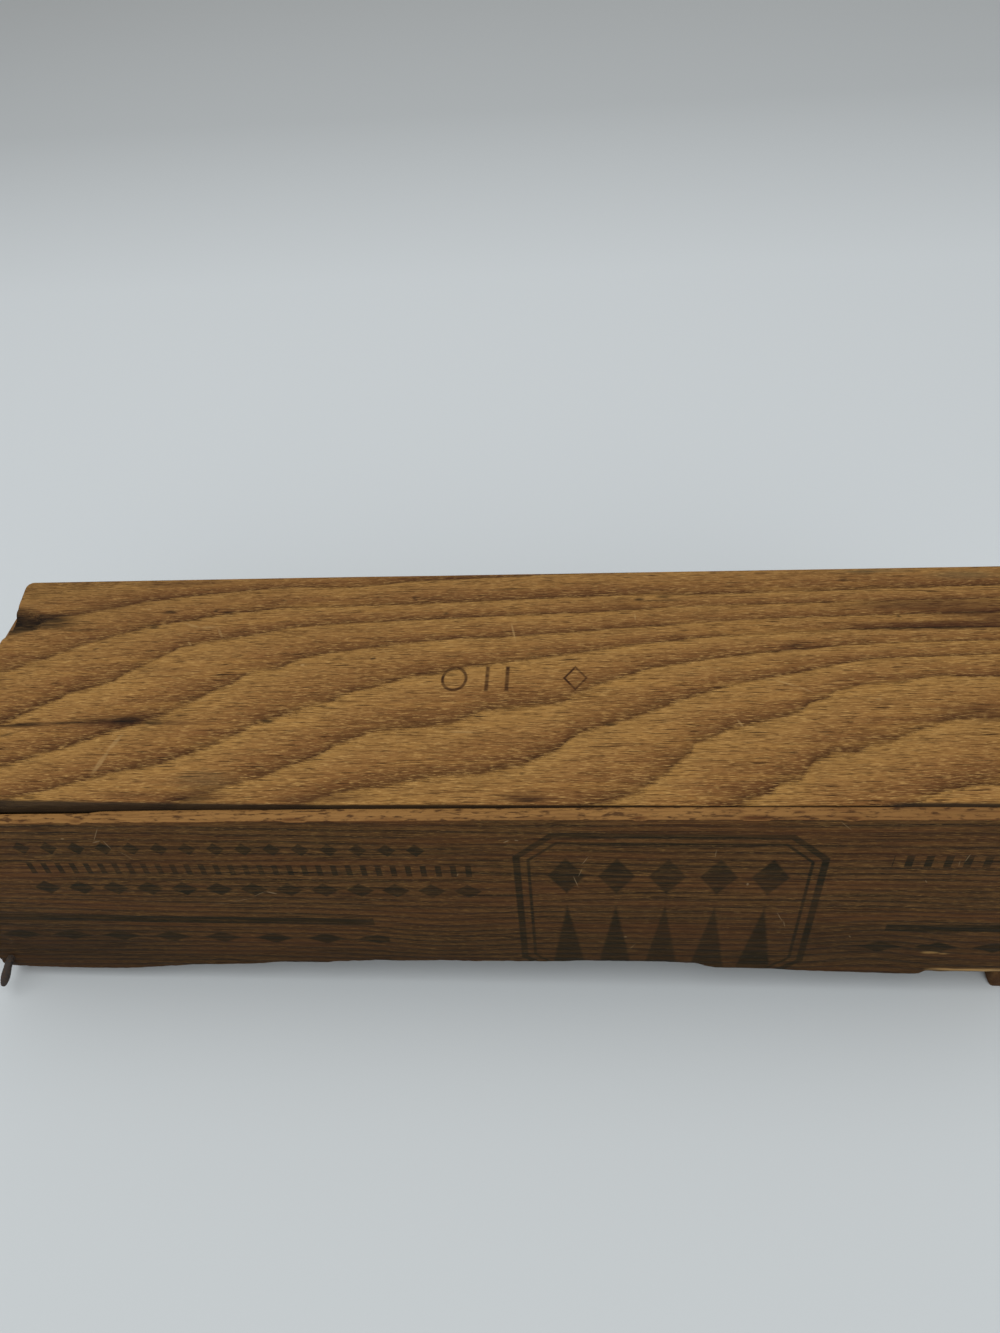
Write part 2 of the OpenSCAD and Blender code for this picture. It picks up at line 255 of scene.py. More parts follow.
def worn_bottom(p):
    x, y, z = p.T.copy()
    up = smooth(CRATE_H - BOTTOM_T / 2, CRATE_H, z)
    left = np.interp(y, *zip(*WORN_LEFT)) + 0.25 * (value_noise(y / 1.1, z, 3) - 0.5)
    x = x + left * (1 - smooth(0, 30, x))
    y = y + 0.25 * (value_noise(x / 23, z / 9, 5) - 0.5) * (1 - smooth(4, 16, y))
    rough = value_noise(x / 5, y / 0.9, 7)
    slope = 1 - x / BEVEL_L - (y - BOARD_FRONT) / BEVEL_W
    z = z - up * np.clip(slope * BEVEL_DEEP * (0.7 + 0.6 * rough), 0, BEVEL_DEEP)
    torn = smooth(SPLINTER_X, SPLINTER_X + 14, x + 5 * (rough - 0.5))
    slope = 1 - (y - BOARD_FRONT) / (SPLINTER_W * (0.7 + 0.6 * value_noise(x / 9, y, 8)))
    z = z - up * torn * SPLINTER_DEEP * np.clip(slope, 0, 1)
    far = np.hypot((x - PIT_X) / PIT_LONG, (y - PIT_Y + 0.1 * x) / PIT_WIDE)
    far = far + 0.35 * (value_noise(x / 3, y / 0.9, 9) - 0.5)
    z = z - up * PIT_ROT * (1 - smooth(0.62, 1.05, far)) * (0.8 + 0.4 * value_noise(x / 4, y / 0.8, 10))
    for nail_x in BOTTOM_NAIL_X:
        for nail_y in BOTTOM_NAIL_Y[:2]:
            z = z - up * 0.45 * (1 - smooth(2.1, 3.6, np.hypot(x - nail_x, y - nail_y)))
    crack = np.exp(-(((y - 30.3 - 0.03 * (x - 24)) / 0.5) ** 2)) * smooth(12, 17, x) * (1 - smooth(30, 52, x))
    z = z - up * 0.35 * crack
    wave = value_noise(x / 45, y / 14, 11) + 0.4 * value_noise(x / 12, y / 2.2, 12)
    z = z + up * 0.14 * (wave - 0.9)
    return np.stack([x, y, z], 1)


bottom_board, p = sawn_board(
    "bottom_board_pine",
    steps(0, CRATE_L, 0.95),
    steps(BOARD_FRONT, BOARD_BACK, 0.66),
    steps(CRATE_H - BOTTOM_T, CRATE_H, 0.8),
    0.35,
    worn_bottom,
)

# Flat-sawn pine, planed and then handled for decades: the soft wood has turned honey brown and the
# latewood bands dark with a crisp outer edge; open pores and dirt draw short dashes along the grain.
PINE_BANDS = ((0.0, "#9A743F"), (0.3, "#90693A"), (0.62, "#7D562F"), (0.84, "#624023"), (0.95, "#3A2211"),
              (1.0, "#96703C"))
PINE_DASHES = (
    # length and width in mm, noise levels between which it shows, strength, colour
    (14.0, 0.55, 0.46, 0.30, 0.6, "#553618"),
    (30.0, 3.5, 0.5, 0.75, 0.45, "#A87D42"),
    (3.0, 0.26, 0.47, 0.33, 0.7, "#472C12"),
    (2.2, 0.24, 0.53, 0.68, 0.6, "#BE965A"),
    (8.0, 0.30, 0.41, 0.33, 0.9, "#2B190B"),
)


# End grain is darker, because it soaks up dirt
END_GRAIN = "#3E2A1B"


class Pine:
    """A board's wood: growth rings from its mesh and dashes along the grain, ready for stains."""

    def __init__(self, name, flat, bands, dashes, cloud_tone, cloud_most):
        self.material = bpy.data.materials.new(name)
        self.material.use_nodes = True
        self.tree = tree = self.material.node_tree
        coords = add(tree, "TexCoord").node.outputs
        corner = add(tree, "VectorMath", {0: coords["Object"], 1: (1000, 1000, 1000), 2: tuple(-CORNER)},
                     operation="MULTIPLY_ADD")
        self.axis = add(tree, "SeparateXYZ", {0: corner}).node.outputs
        self.facing = add(tree, "SeparateXYZ", {0: coords["Normal"]}).node.outputs
        # flat names the axes along the grain, across it on the face, and through the board
        self.flat = add(tree, "CombineXYZ", {i: self.axis[a] for i, a in enumerate(flat)})
        self.face = add(tree, "CombineXYZ", {i: self.axis[a] for i, a in enumerate(flat[:2])})
        self.fibre = self.grain(7.0, 0.42, 3.0)
        wobble = add(tree, "MapRange", {0: self.fibre, 1: 0.3, 2: 0.7, 3: -0.04, 4: 0.04})
        ring = add(tree, "Attribute", output="Fac", attribute_name="ring")
        self.part = add(tree, "Math", {0: add(tree, "Math", {0: ring, 1: wobble})}, operation="FRACT")
        self.tone = add(tree, "ValToRGB", {0: self.part})
        set_tones(self.tone.node.color_ramp, bands)
        # Each band is weaker in some stretches, over about 40 mm
        cloud = self.grain(42.0, 16.0, 3.0)
        self.cover(add(tree, "MapRange", {0: cloud, 1: 0.35, 2: 0.7, 4: cloud_most}), cloud_tone)
        for long, wide, miss, hit, strength, colour in dashes:
            streaks = self.grain(long, wide, 2.0)
            self.cover(add(tree, "MapRange", {0: streaks, 1: miss, 2: hit, 4: strength}), colour)
        # Stains follow the grain, so their outlines are pulled about along it
        pull = add(tree, "VectorMath", {0: self.grain(4.0, 0.9, 2.0, "Color"), 1: (-0.5, -0.5, -0.5)})
        self.flowing = add(tree, "VectorMath", {0: pull, 1: (4.0, 0.9, 0.0), 2: self.face},
                           operation="MULTIPLY_ADD")

    def grain(self, long, wide, detail, output="Fac"):
        """Random streaks of this length and width in mm."""
        spread = add(self.tree, "VectorMath", {0: self.flat, 1: (1 / long, 1 / wide, 1 / wide)},
                     operation="MULTIPLY")
        noise = {"Vector": spread, "Scale": 1.0, "Detail": detail, "Roughness": 0.55}
        return add(self.tree, "TexNoise", noise, output=output)

    def cover(self, amount, colour):
        """Lays a colour over the wood as it is so far."""
        self.tone = add(self.tree, "Mix", {0: amount, 6: self.tone, 7: linear(colour)}, output=2,
                        data_type="RGBA")

    def stain(self, colour, spots, crisp=False, where=None):
        """Soft spots on the face, each as x, y, half length, half width, degrees and strength."""
        tree, face = self.tree, self.face if crisp else self.flowing
        outer, inner = (1.15, 0.45) if crisp else (1.3, 0.2)
        total = None
        for x, y, long, wide, angle, strength in spots:
            turn = (0, 0, math.radians(angle))
            spot = add(tree, "Mapping", {0: face, 1: (x, y, 0), 2: turn, 3: (long, wide, 1)},
                       vector_type="TEXTURE")
            far = add(tree, "VectorMath", {0: spot}, output="Value", operation="LENGTH")
            mask = add(tree, "MapRange", {0: far, 1: outer, 2: inner, 4: strength},
                       interpolation_type="SMOOTHSTEP")
            total = mask if total is None else add(tree, "Math", {0: total, 1: mask}, operation="MAXIMUM")
        soaked = add(tree, "MapRange", {0: self.fibre, 1: 0.3, 2: 0.55, 3: 1.0, 4: 0.6})
        total = add(tree, "Math", {0: total, 1: soaked}, operation="MULTIPLY")
        if where is not None:
            total = add(tree, "Math", {0: total, 1: where}, operation="MULTIPLY")
        self.cover(total, colour)

    def end_grain(self, along, start, end, most):
        """Darkens the sawn ends, which face along this axis."""
        away = add(self.tree, "Math", {0: self.facing[along]}, operation="ABSOLUTE")
        self.cover(add(self.tree, "MapRange", {0: away, 1: start, 2: end, 4: most}), END_GRAIN)

    def finish(self, piece, node, proud=0.00016, rough=(0.85, 0.7)):
        """Joins colour, gloss and relief to the surface, and gives them to the board."""
        # Latewood stands about 0.1 mm proud of the soft wood, and the fibres stand half of that
        edge = add(self.tree, "MapRange", {0: self.part, 1: 0.55, 2: 0.97})
        relief = add(self.tree, "Math", {0: self.fibre, 1: 0.6, 2: edge}, operation="MULTIPLY_ADD")
        bump = add(self.tree, "Bump", {"Strength": 0.8, "Distance": proud, "Height": relief})
        dull = add(self.tree, "MapRange", {0: self.fibre, 1: 0.3, 2: 0.7, 3: rough[0], 4: rough[1]})
        surface = self.tree.nodes["Principled BSDF"].inputs
        surface["IOR"].default_value = 1.5
        surface["Specular IOR Level"].default_value = 0.08
        for name, value in (("Base Color", self.tone), ("Roughness", dull), ("Normal", bump)):
            self.tree.links.new(value, surface[name])
        piece.data.materials.append(self.material)
        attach(piece, "root")
        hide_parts(node)


def give_rings(piece, count):
    """Stores the ring count on the mesh, where the wood's material reads it."""
    rings = piece.data.attributes.new("ring", "FLOAT", "POINT")
    rings.data.foreach_set("value", np.asarray(count, dtype=np.float32))


give_rings(bottom_board, ring_count(p[:, 0], p[:, 1]))
pine = Pine("aged_pine_planed", "XYZ", PINE_BANDS, PINE_DASHES, "#7C582F", 0.4)
tree = pine.tree
# The back, and above all the back left corner, has darkened
aged = add(tree, "Math", {
    0: add(tree, "MapRange", {0: pine.axis["Y"], 1: 45.0, 2: 92.0, 4: 0.42}),
    1: add(tree, "MapRange", {0: pine.axis["X"], 1: 0, 2: 110, 3: 0.75, 4: 0.35}),
}, operation="MULTIPLY")
pine.cover(aged, "#4A2F1C")
pine.stain("#3A2014", (
    (50, 31.4, 15, 2.6, 3, 0.9), (24, 30.2, 13, 1.3, 3, 0.8), (66, 30.8, 7, 1.2, -3, 0.7),
    (10, 31.5, 9, 3.0, 0, 0.6), (275, 74.6, 30, 3.0, 0, 0.95), (287, 71.5, 20, 2.8, 0, 0.95),
    (277, 66.2, 32, 2.2, 0, 1.0), (294, 69, 12, 4, 0, 0.9), (112, 5.2, 13, 1.6, 0, 0.7),
    (28, 78, 22, 2.4, 14, 0.45), (50, 89.6, 18, 1.6, 0, 0.65), (132, 90.2, 22, 1.4, 0, 0.6),
    (5, 22, 8, 6, 0, 0.5), (5, 47, 8, 6, 0, 0.5), (293, 22, 8, 6, 0, 0.5), (293, 47, 9, 5, 0, 0.5),
    (278, 33, 14, 4, 0, 0.35), (79, 5.8, 10, 2.4, 0, 0.75), (162, 5.4, 8, 1.7, 0, 0.8),
    (234, 58.3, 5, 2.6, 0, 0.7), (62, 6, 9, 1.4, 0, 0.5),
))
pine.stain("#14100C", (
    (53, 31.6, 5.5, 1.8, 5, 1.0), (45, 31.5, 9, 1.2, 2, 0.6), (60.6, 30.8, 3.2, 1.2, -4, 0.85),
    (24, 30.4, 8, 0.7, 4, 1.0), (37, 31.1, 9, 0.5, 2, 0.9), (21.3, 26.6, 3.0, 0.7, 18, 0.9),
    (52, 76, 2.4, 0.9, 0, 1.0), (66, 76.3, 1.0, 0.7, 0, 0.9), (70.3, 75.6, 2.3, 0.7, 0, 0.9),
    (49, 69.5, 1.7, 0.9, 0, 1.0), (34, 60, 0.8, 0.6, 0, 0.8), (86.4, 80.7, 0.9, 0.6, 0, 0.8),
    (92.2, 31, 2.2, 0.9, 0, 1.0), (117.3, 54.9, 0.8, 0.6, 0, 0.9), (126.4, 80.9, 0.9, 1.5, 20, 0.8),
    (136.2, 73.7, 0.8, 0.7, 0, 0.8), (192.4, 78.8, 1.4, 0.8, 0, 0.9), (199.6, 79.9, 2.2, 0.8, 0, 0.9),
    (199.5, 78.2, 8, 0.4, 0, 0.8), (183.1, 29.5, 1.7, 0.8, 10, 0.9), (161, 13, 1.0, 0.6, 0, 0.7),
    (153.5, 84.4, 6.5, 0.4, 4, 0.6), (272, 65.0, 25, 0.55, 0, 1.0), (258, 89.6, 4, 1.1, 0, 0.6),
    (252, 86.4, 1.8, 1.0, 0, 0.6), (263.8, 70, 1.0, 0.7, 0, 0.8), (284, 71.2, 10, 0.45, 0, 0.75),
    (298, 66, 9, 5, 0, 0.5), (3.5, 72.6, 10.0, 6.0, 0, 1.0), (14, 70.3, 10, 1.4, -2, 0.9),
    (13, 75.0, 9, 1.5, -2, 0.85), (13, 72.6, 13, 4.0, -2, 0.9), (26, 68.6, 10, 0.5, 1, 0.7),
    (228, 19.8, 1.6, 0.6, 0, 0.5), (234, 58.3, 1.8, 0.9, 0, 0.6), (78, 4.9, 6, 0.9, 0, 0.7),
    (162, 4.9, 5, 0.8, 0, 0.7),
))
pine.stain("#130F0C", (
    (3.0, 72.2, 9.5, 7.2, 0, 1.0), (8.5, 73.6, 6.0, 2.8, 0, 1.0), (8.0, 70.6, 5.5, 2.2, 0, 1.0),
    (15.0, 73.2, 7.5, 1.0, -1, 0.85), (14.0, 71.0, 8.0, 0.8, -2, 0.7), (17.0, 75.2, 6.0, 0.5, 0, 0.5),
), crisp=True)
pine.stain("#5C5238", ((286, 87.8, 12, 2.4, 0, 0.6), (262, 90.2, 14, 1.2, 0, 0.5), (80, 11, 9, 4, 0, 0.35)))
pine.stain("#AC8C5C", (
    (60.5, 70.0, 3.4, 0.5, -22, 0.5), (65.9, 69.0, 2.8, 0.55, 2, 0.55), (69.9, 66.6, 2.9, 0.5, -62, 0.4),
    (52.4, 23.6, 4.0, 0.8, 72, 0.5), (50.8, 16.8, 4.2, 0.9, 78, 0.55), (156.3, 65.5, 4.0, 0.35, -78, 0.6),
    (191, 71, 1.6, 0.3, -88, 0.5), (229.6, 43.9, 3.2, 0.4, -24, 0.6), (234.2, 41.6, 2.4, 0.4, -30, 0.5),
    (216, 29.7, 1.7, 0.4, -64, 0.6), (97.4, 52.6, 0.7, 0.5, 0, 0.9), (145, 27, 4, 0.5, 0, 0.4),
    (62, 62, 1.2, 0.4, -50, 0.5), (45, 77.5, 0.8, 0.5, 0, 0.5), (252, 38, 1.0, 0.5, 0, 0.5),
), crisp=True)
# An inspector's tally was stamped into the face: a ring, two bars and a lozenge, plain shapes 8 mm high
TALLY_Y, TALLY_HALF, TALLY_LINE = 46.5, 4.2, 0.5
TALLY = (("ring", 141.0), ("bar", 150.0), ("bar", 155.5), ("lozenge", 174.0))
stamped = None
up = add(tree, "Math", {0: pine.axis["Y"], 1: TALLY_Y}, operation="SUBTRACT")
tall = add(tree, "Math", {0: up}, operation="ABSOLUTE")
for kind, x in TALLY:
    right = add(tree, "Math", {0: pine.axis["X"], 1: x}, operation="SUBTRACT")
    wide = add(tree, "Math", {0: right}, operation="ABSOLUTE")
    if kind == "ring":
        both = add(tree, "Math", {
            0: add(tree, "Math", {
                0: right,
                1: add(tree, "Math", {0: right, 1: 1.7}, operation="MULTIPLY"),
            }, operation="MULTIPLY"),
            1: add(tree, "Math", {0: up, 1: up}, operation="MULTIPLY"),
        }, operation="ADD")
        off = add(tree, "Math", {
            0: add(tree, "Math", {
                0: add(tree, "Math", {0: both}, operation="SQRT"),
                1: TALLY_HALF,
            }, operation="SUBTRACT"),
        }, operation="ABSOLUTE")
    elif kind == "bar":
        off = add(tree, "Math", {
            0: wide,
            1: add(tree, "Math", {0: tall, 1: TALLY_HALF}, operation="SUBTRACT"),
        }, operation="MAXIMUM")
    else:
        both = add(tree, "Math", {0: wide, 1: 1.4, 2: tall}, operation="MULTIPLY_ADD")
        off = add(tree, "Math", {
            0: add(tree, "Math", {0: both, 1: TALLY_HALF}, operation="SUBTRACT"),
        }, operation="ABSOLUTE")
    line = add(tree, "MapRange", {0: off, 1: TALLY_LINE * 1.5, 2: TALLY_LINE * 0.6})
    stamped = line if stamped is None else add(tree, "Math", {0: stamped, 1: line}, operation="MAXIMUM")
faint = add(tree, "MapRange", {0: pine.grain(6.0, 3.0, 2.0), 1: 0.35, 2: 0.6, 3: 0.45, 4: 0.95})
pine.cover(add(tree, "Math", {0: stamped, 1: faint}, operation="MULTIPLY"), "#2E180C")
# The worn bevels along the front edge are grey-black; they lie below the board's face
low = add(tree, "MapRange", {0: pine.axis["Z"], 1: CRATE_H - 0.2, 2: CRATE_H - 0.7, 4: 0.93})
near = add(tree, "MapRange", {0: pine.axis["Y"], 1: BOARD_FRONT + 3.0, 2: BOARD_FRONT + 2.4})
pine.cover(add(tree, "Math", {0: low, 1: near}, operation="MULTIPLY"), "#2C231A")
pine.end_grain("X", 0.5, 0.85, 0.8)
pine.finish(bottom_board, "bottom_board")

# The front side: a thin board, 3.3 mm thick, split from the same pine and nailed to both end boards.
# It is dark with age and dirt, its lower edge by the open rim has torn away along the grain, and
# black ink is printed on it. A strip of fresh wood shows where the last splinter came off.
FRONT_DROP = 4.0
TORN_EDGE = ((0, 5.6), (5, 5.6), (15, 5.0), (25, 5.2), (38, 5.6), (45, 6.4), (55, 7.5), (70, 8.7), (85, 10.2),
             (95, 10.6), (101.5, 10.7), (102.6, 11.4), (115, 12.0), (135, 12.7), (160, 13.3), (175, 13.7),
             (196, 13.8), (207, 13.3), (209.5, 12.4), (212, 11.6), (228, 10.8), (241, 10.4), (253, 9.6),
             (262, 9.6), (268, 9.9), (271, 9.8), (274, 9.4), (284, 9.8), (298, 10.2))
LEDGE_X, LEDGE_H, LEDGE_T, LEDGE_TOP = 270.0, 2.7, 2.4, 12.4
CHIP_L, CHIP_T, CHIP_H = 52.0, 0.6, 2.5
RIDGE_PITCH = 2.7
SIDE_NAIL_X, SIDE_NAIL_Z = (4.7, 293.3), (20.0, 37.5, 55.0)


def ridge_line(x, z):
    """Grain of a side board as lines counted upwards; it bows twice round the knots of its other face."""
    bow = 3.2 * np.exp(-(((x - 138) / 20) ** 2) - ((z - 26) / 15) ** 2)
    bow = bow - 3.6 * np.exp(-(((x - 254) / 16) ** 2) - ((z - 24) / 14) ** 2)
    wander = 1.6 * (value_noise(x / 70, z / 12, 21) - 0.5) + 0.35 * (value_noise(x / 14, z / 3, 22) - 0.5)
    return (z + bow + 2 * wander) / RIDGE_PITCH


def torn_front(p):
    x, y, z = p.T.copy()
    out = 1 - smooth(SIDE_T - LEDGE_T - 0.5, SIDE_T - LEDGE_T + 0.3, y)
    fray = value_noise(x / 9, y / 0.8, 23) - 0.5 + 0.5 * (value_noise(x / 1.6, y / 0.6, 24) - 0.5)
    low = np.interp(x, *zip(*TORN_EDGE)) + 0.45 * fray
    low = low + LEDGE_H * out * smooth(LEDGE_X - 1, LEDGE_X + 3, x + 3 * fray)
    top = CRATE_H - FRONT_DROP * (1 - x / CRATE_L) ** 2
    top = top - 0.3 * value_noise(x / 17, y / 1.3, 25) * smooth(1, 6, x)
    chips = smooth(0.72, 0.8, value_noise(x / 7, y / 9, 26)) * (1 - smooth(0.2, 1.0, y))
    top = top - 0.5 * chips
    z = low + z / CRATE_H * (top - low)
    z = z - 0.75 * (1 - smooth(0.0, 1.5, y)) * smooth(1.6, 0.0, top - z)
    face = 1 - smooth(0.2, 1.2, y)
    lines = ridge_line(x, z)
    comb = 0.5 - 0.5 * np.cos(2 * np.pi * lines)
    deep = 0.16 * (1 - smooth(30, 50, z)) + 0.05
    y = y + face * (deep * comb + 0.12 * value_noise(x / 40, z / 9, 27))
    inner = smooth(SIDE_T - 1.0, SIDE_T - 0.3, y)
    chipped = 1 - smooth(CHIP_L - 3, CHIP_L + 4, x + 6 * fray)
    y = y - inner * chipped * CHIP_T * smooth(top - CHIP_H - 0.6, top - CHIP_H + 0.2, z)
    for nail_x in SIDE_NAIL_X:
        for nail_z in SIDE_NAIL_Z:
            y = y + face * 0.4 * (1 - smooth(2.1, 3.4, np.hypot(x - nail_x, z - nail_z)))
    return np.stack([x, y, z], 1)


front_side, p = sawn_board(
    "front_side_pine",
    steps(0, CRATE_L, 0.95),
    steps(0, SIDE_T, 0.6),
    steps(0, CRATE_H, 0.6),
    0.3,
    torn_front,
)
give_rings(front_side, ridge_line(p[:, 0], p[:, 2]))
DARK_BANDS = ((0.0, "#624526"), (0.45, "#5A3E22"), (0.72, "#3B2915"), (0.9, "#150E07"), (1.0, "#573C20"))
DARK_DASHES = (
    (40.0, 1.1, 0.42, 0.62, 0.5, "#4A3017"),
    (26.0, 0.45, 0.45, 0.33, 0.8, "#23180B"),
    (18.0, 0.40, 0.55, 0.70, 0.5, "#6E5029"),
    (3.0, 0.26, 0.47, 0.34, 0.6, "#261A0D"),
    (2.2, 0.24, 0.56, 0.70, 0.6, "#8A693A"),
    (9.0, 0.28, 0.41, 0.33, 0.8, "#150E07"),
    (60.0, 7.0, 0.45, 0.7, 0.45, "#5C361C"),
)
dark_pine = Pine("dark_pine_split", "XZY", DARK_BANDS, DARK_DASHES, "#4C361C", 0.4)
tree = dark_pine.tree
# Towards the torn edge it is darker still, and more so in patches
dark_pine.cover(add(tree, "MapRange", {0: dark_pine.axis["Z"], 1: 50.0, 2: 15.0, 4: 0.42}), "#241B12")
dark_pine.stain("#1D1711", ((10, 20, 52, 17, 0, 0.5), (120, 12, 40, 7, 0, 0.4), (250, 27, 26, 9, 0, 0.35)))
# The print is plain ornament in worn greenish black: rows of small shapes, a panel of two rows of
# tall shapes in a double chamfered frame, and a rule on either side of it
outer_face = add(tree, "MapRange", {0: dark_pine.facing["Y"], 1: -0.3, 2: -0.6})
PRINT_ROWS = (
    # shape, middle x, half length, middle z, half height, pitch, half width of one shape
    ("lozenge", 82.0, 55.0, 66.5, 2.6, 7.4, 2.3),
    ("bar", 88.0, 61.0, 57.5, 2.3, 3.9, 0.75),
    ("lozenge", 88.0, 61.0, 48.5, 3.0, 9.6, 3.6),
    ("bar", 264.0, 13.0, 63.5, 2.2, 4.6, 0.9),
    ("lozenge", 197.0, 32.0, 56.0, 7.5, 12.8, 4.6),
    ("peak", 197.0, 32.0, 27.0, 14.5, 12.8, 4.4),
    ("bar", 58.0, 60.0, 33.0, 1.6, 40.0, 30.0),
    ("lozenge", 58.0, 63.0, 24.0, 2.4, 15.0, 5.8),
    ("bar", 277.0, 22.0, 33.5, 1.6, 40.0, 30.0),
    ("lozenge", 270.0, 22.0, 24.0, 2.4, 15.0, 5.8),
)
PANEL = (197.0, 38.0, 40.0, 33.0, 9.0)
ink = None
for shape, mid_x, half_x, mid_z, half_z, pitch, half_w in PRINT_ROWS:
    along = add(tree, "Math", {0: dark_pine.axis["X"], 1: mid_x}, operation="SUBTRACT")
    up = add(tree, "Math", {0: dark_pine.axis["Z"], 1: mid_z}, operation="SUBTRACT")
    side = add(tree, "Math", {
        0: add(tree, "Math", {0: along, 1: pitch / 2}, operation="PINGPONG"),
        1: half_w,
    }, operation="DIVIDE")
    tall = add(tree, "Math", {
        0: add(tree, "Math", {0: up}, operation="ABSOLUTE"),
        1: half_z,
    }, operation="DIVIDE")
    if shape == "bar":
        out = add(tree, "Math", {0: side, 1: tall}, operation="MAXIMUM")
    elif shape == "lozenge":
        out = add(tree, "Math", {0: side, 1: tall}, operation="ADD")
    else:
        slope = add(tree, "MapRange", {0: up, 1: -half_z, 2: half_z, 3: 0.0, 4: 1.0})
        out = add(tree, "Math", {
            0: add(tree, "Math", {0: side, 1: slope}, operation="ADD"),
            1: tall,
        }, operation="MAXIMUM")
    mark = add(tree, "MapRange", {0: out, 1: 1.12, 2: 0.95})
    mark = add(tree, "Math", {
        0: mark,
        1: add(tree, "MapRange", {
            0: add(tree, "Math", {0: along}, operation="ABSOLUTE"),
            1: half_x + 0.2,
            2: half_x,
        }),
    }, operation="MULTIPLY")
    ink = mark if ink is None else add(tree, "Math", {0: ink, 1: mark}, operation="MAXIMUM")
mid_x, half_x, mid_z, half_z, chamfer = PANEL
wide = add(tree, "Math", {
    0: add(tree, "Math", {0: dark_pine.axis["X"], 1: mid_x}, operation="SUBTRACT"),
}, operation="ABSOLUTE")
tall = add(tree, "Math", {
    0: add(tree, "Math", {0: dark_pine.axis["Z"], 1: mid_z}, operation="SUBTRACT"),
}, operation="ABSOLUTE")
wide_out = add(tree, "Math", {0: wide, 1: half_x}, operation="SUBTRACT")
tall_out = add(tree, "Math", {0: tall, 1: half_z}, operation="SUBTRACT")
cut = add(tree, "Math", {
    0: add(tree, "Math", {0: wide_out, 1: tall_out}, operation="ADD"),
    1: 0.7071,
    2: chamfer * 0.7071,
}, operation="MULTIPLY_ADD")
edge = add(tree, "Math", {
    0: add(tree, "Math", {0: wide_out, 1: tall_out}, operation="MAXIMUM"),
    1: cut,
}, operation="MAXIMUM")
for inset, half_line in ((0.0, 0.85), (3.0, 0.35)):
    off = add(tree, "Math", {
        0: add(tree, "Math", {0: edge, 1: inset}, operation="ADD"),
    }, operation="ABSOLUTE")
    ink = add(tree, "Math", {
        0: ink,
        1: add(tree, "MapRange", {0: off, 1: half_line + 0.25, 2: half_line - 0.1}),
    }, operation="MAXIMUM")
worn_ink = add(tree, "MapRange", {0: dark_pine.grain(12.0, 0.5, 3.0), 1: 0.36, 2: 0.62, 3: 1.0, 4: 0.6})
worn_ink = add(tree, "Math", {
    0: worn_ink,
    1: add(tree, "MapRange", {0: dark_pine.grain(60.0, 25.0, 2.0), 1: 0.3, 2: 0.6, 3: 1.0, 4: 0.65}),
}, operation="MULTIPLY")
ink = add(tree, "Math", {0: ink, 1: outer_face}, operation="MULTIPLY")
dark_pine.cover(add(tree, "Math", {0: ink, 1: worn_ink}, operation="MULTIPLY"), "#15170D")
# Fresh wood: the ledge of the last splinter, a chip above it and a few lifted fibres
fresh = add(tree, "Math", {
    0: add(tree, "MapRange", {0: dark_pine.axis["X"], 1: LEDGE_X - 1, 2: LEDGE_X + 3}),
    1: add(tree, "MapRange", {0: dark_pine.axis["Z"], 1: LEDGE_TOP + 1.0, 2: LEDGE_TOP}),
}, operation="MULTIPLY")
dark_pine.cover(
    add(tree, "Math", {
        0: fresh,
        1: add(tree, "MapRange", {0: dark_pine.grain(14.0, 0.5, 2.0), 1: 0.42, 2: 0.56, 3: 0.2, 4: 1.0}),
    }, operation="MULTIPLY"),
    "#B8925C",
)
dark_pine.stain("#B08A52", (
    (269.0, 21.2, 2.6, 0.8, 0, 0.9), (272.5, 20.6, 1.6, 0.5, 0, 0.7),
), where=outer_face)
dark_pine.stain("#A08866", (
    (52.5, 72.5, 3.2, 0.13, 62, 0.6), (54.0, 68.0, 2.2, 0.2, -75, 0.45), (51.6, 69.4, 1.4, 0.3, 20, 0.45),
    (57.5, 63.5, 2.6, 0.12, -52, 0.4), (83.5, 43.3, 4.0, 0.13, 16, 0.45),
    (89.0, 46.4, 2.6, 0.13, 34, 0.5), (92.5, 47.0, 1.6, 0.3, -22, 0.85), (77, 41.2, 3.0, 0.11, 4, 0.35),
    (176.3, 62.8, 2.2, 0.13, 64, 0.6), (173.8, 53.6, 2.6, 0.13, -76, 0.6),
    (175.0, 57.5, 2.0, 0.12, 74, 0.5), (227.0, 38.0, 2.6, 0.13, -66, 0.6),
    (228.6, 34.6, 1.6, 0.13, -76, 0.6), (237.5, 77.5, 2.6, 0.11, -48, 0.45),
    (268.0, 65.2, 1.8, 0.15, 80, 0.6), (266.6, 62.8, 1.4, 0.12, -84, 0.45),
    (208.2, 66.0, 1.8, 0.12, 88, 0.5), (246.5, 28.8, 0.8, 0.2, -60, 0.6), (43.0, 70.6, 0.5, 0.3, 0, 0.7),
    (157.0, 70.6, 0.9, 0.2, 30, 0.6), (159.5, 71.0, 0.6, 0.25, -10, 0.6),
    (217.2, 53.0, 0.35, 0.6, 0, 0.7), (260.5, 55.0, 0.7, 0.2, -60, 0.45),
    (143.5, 56.0, 0.8, 0.2, 70, 0.4), (187.0, 27.0, 0.5, 0.5, 0, 0.35), (189.0, 22.0, 1.6, 0.12, 55, 0.4),
), crisp=True, where=outer_face)
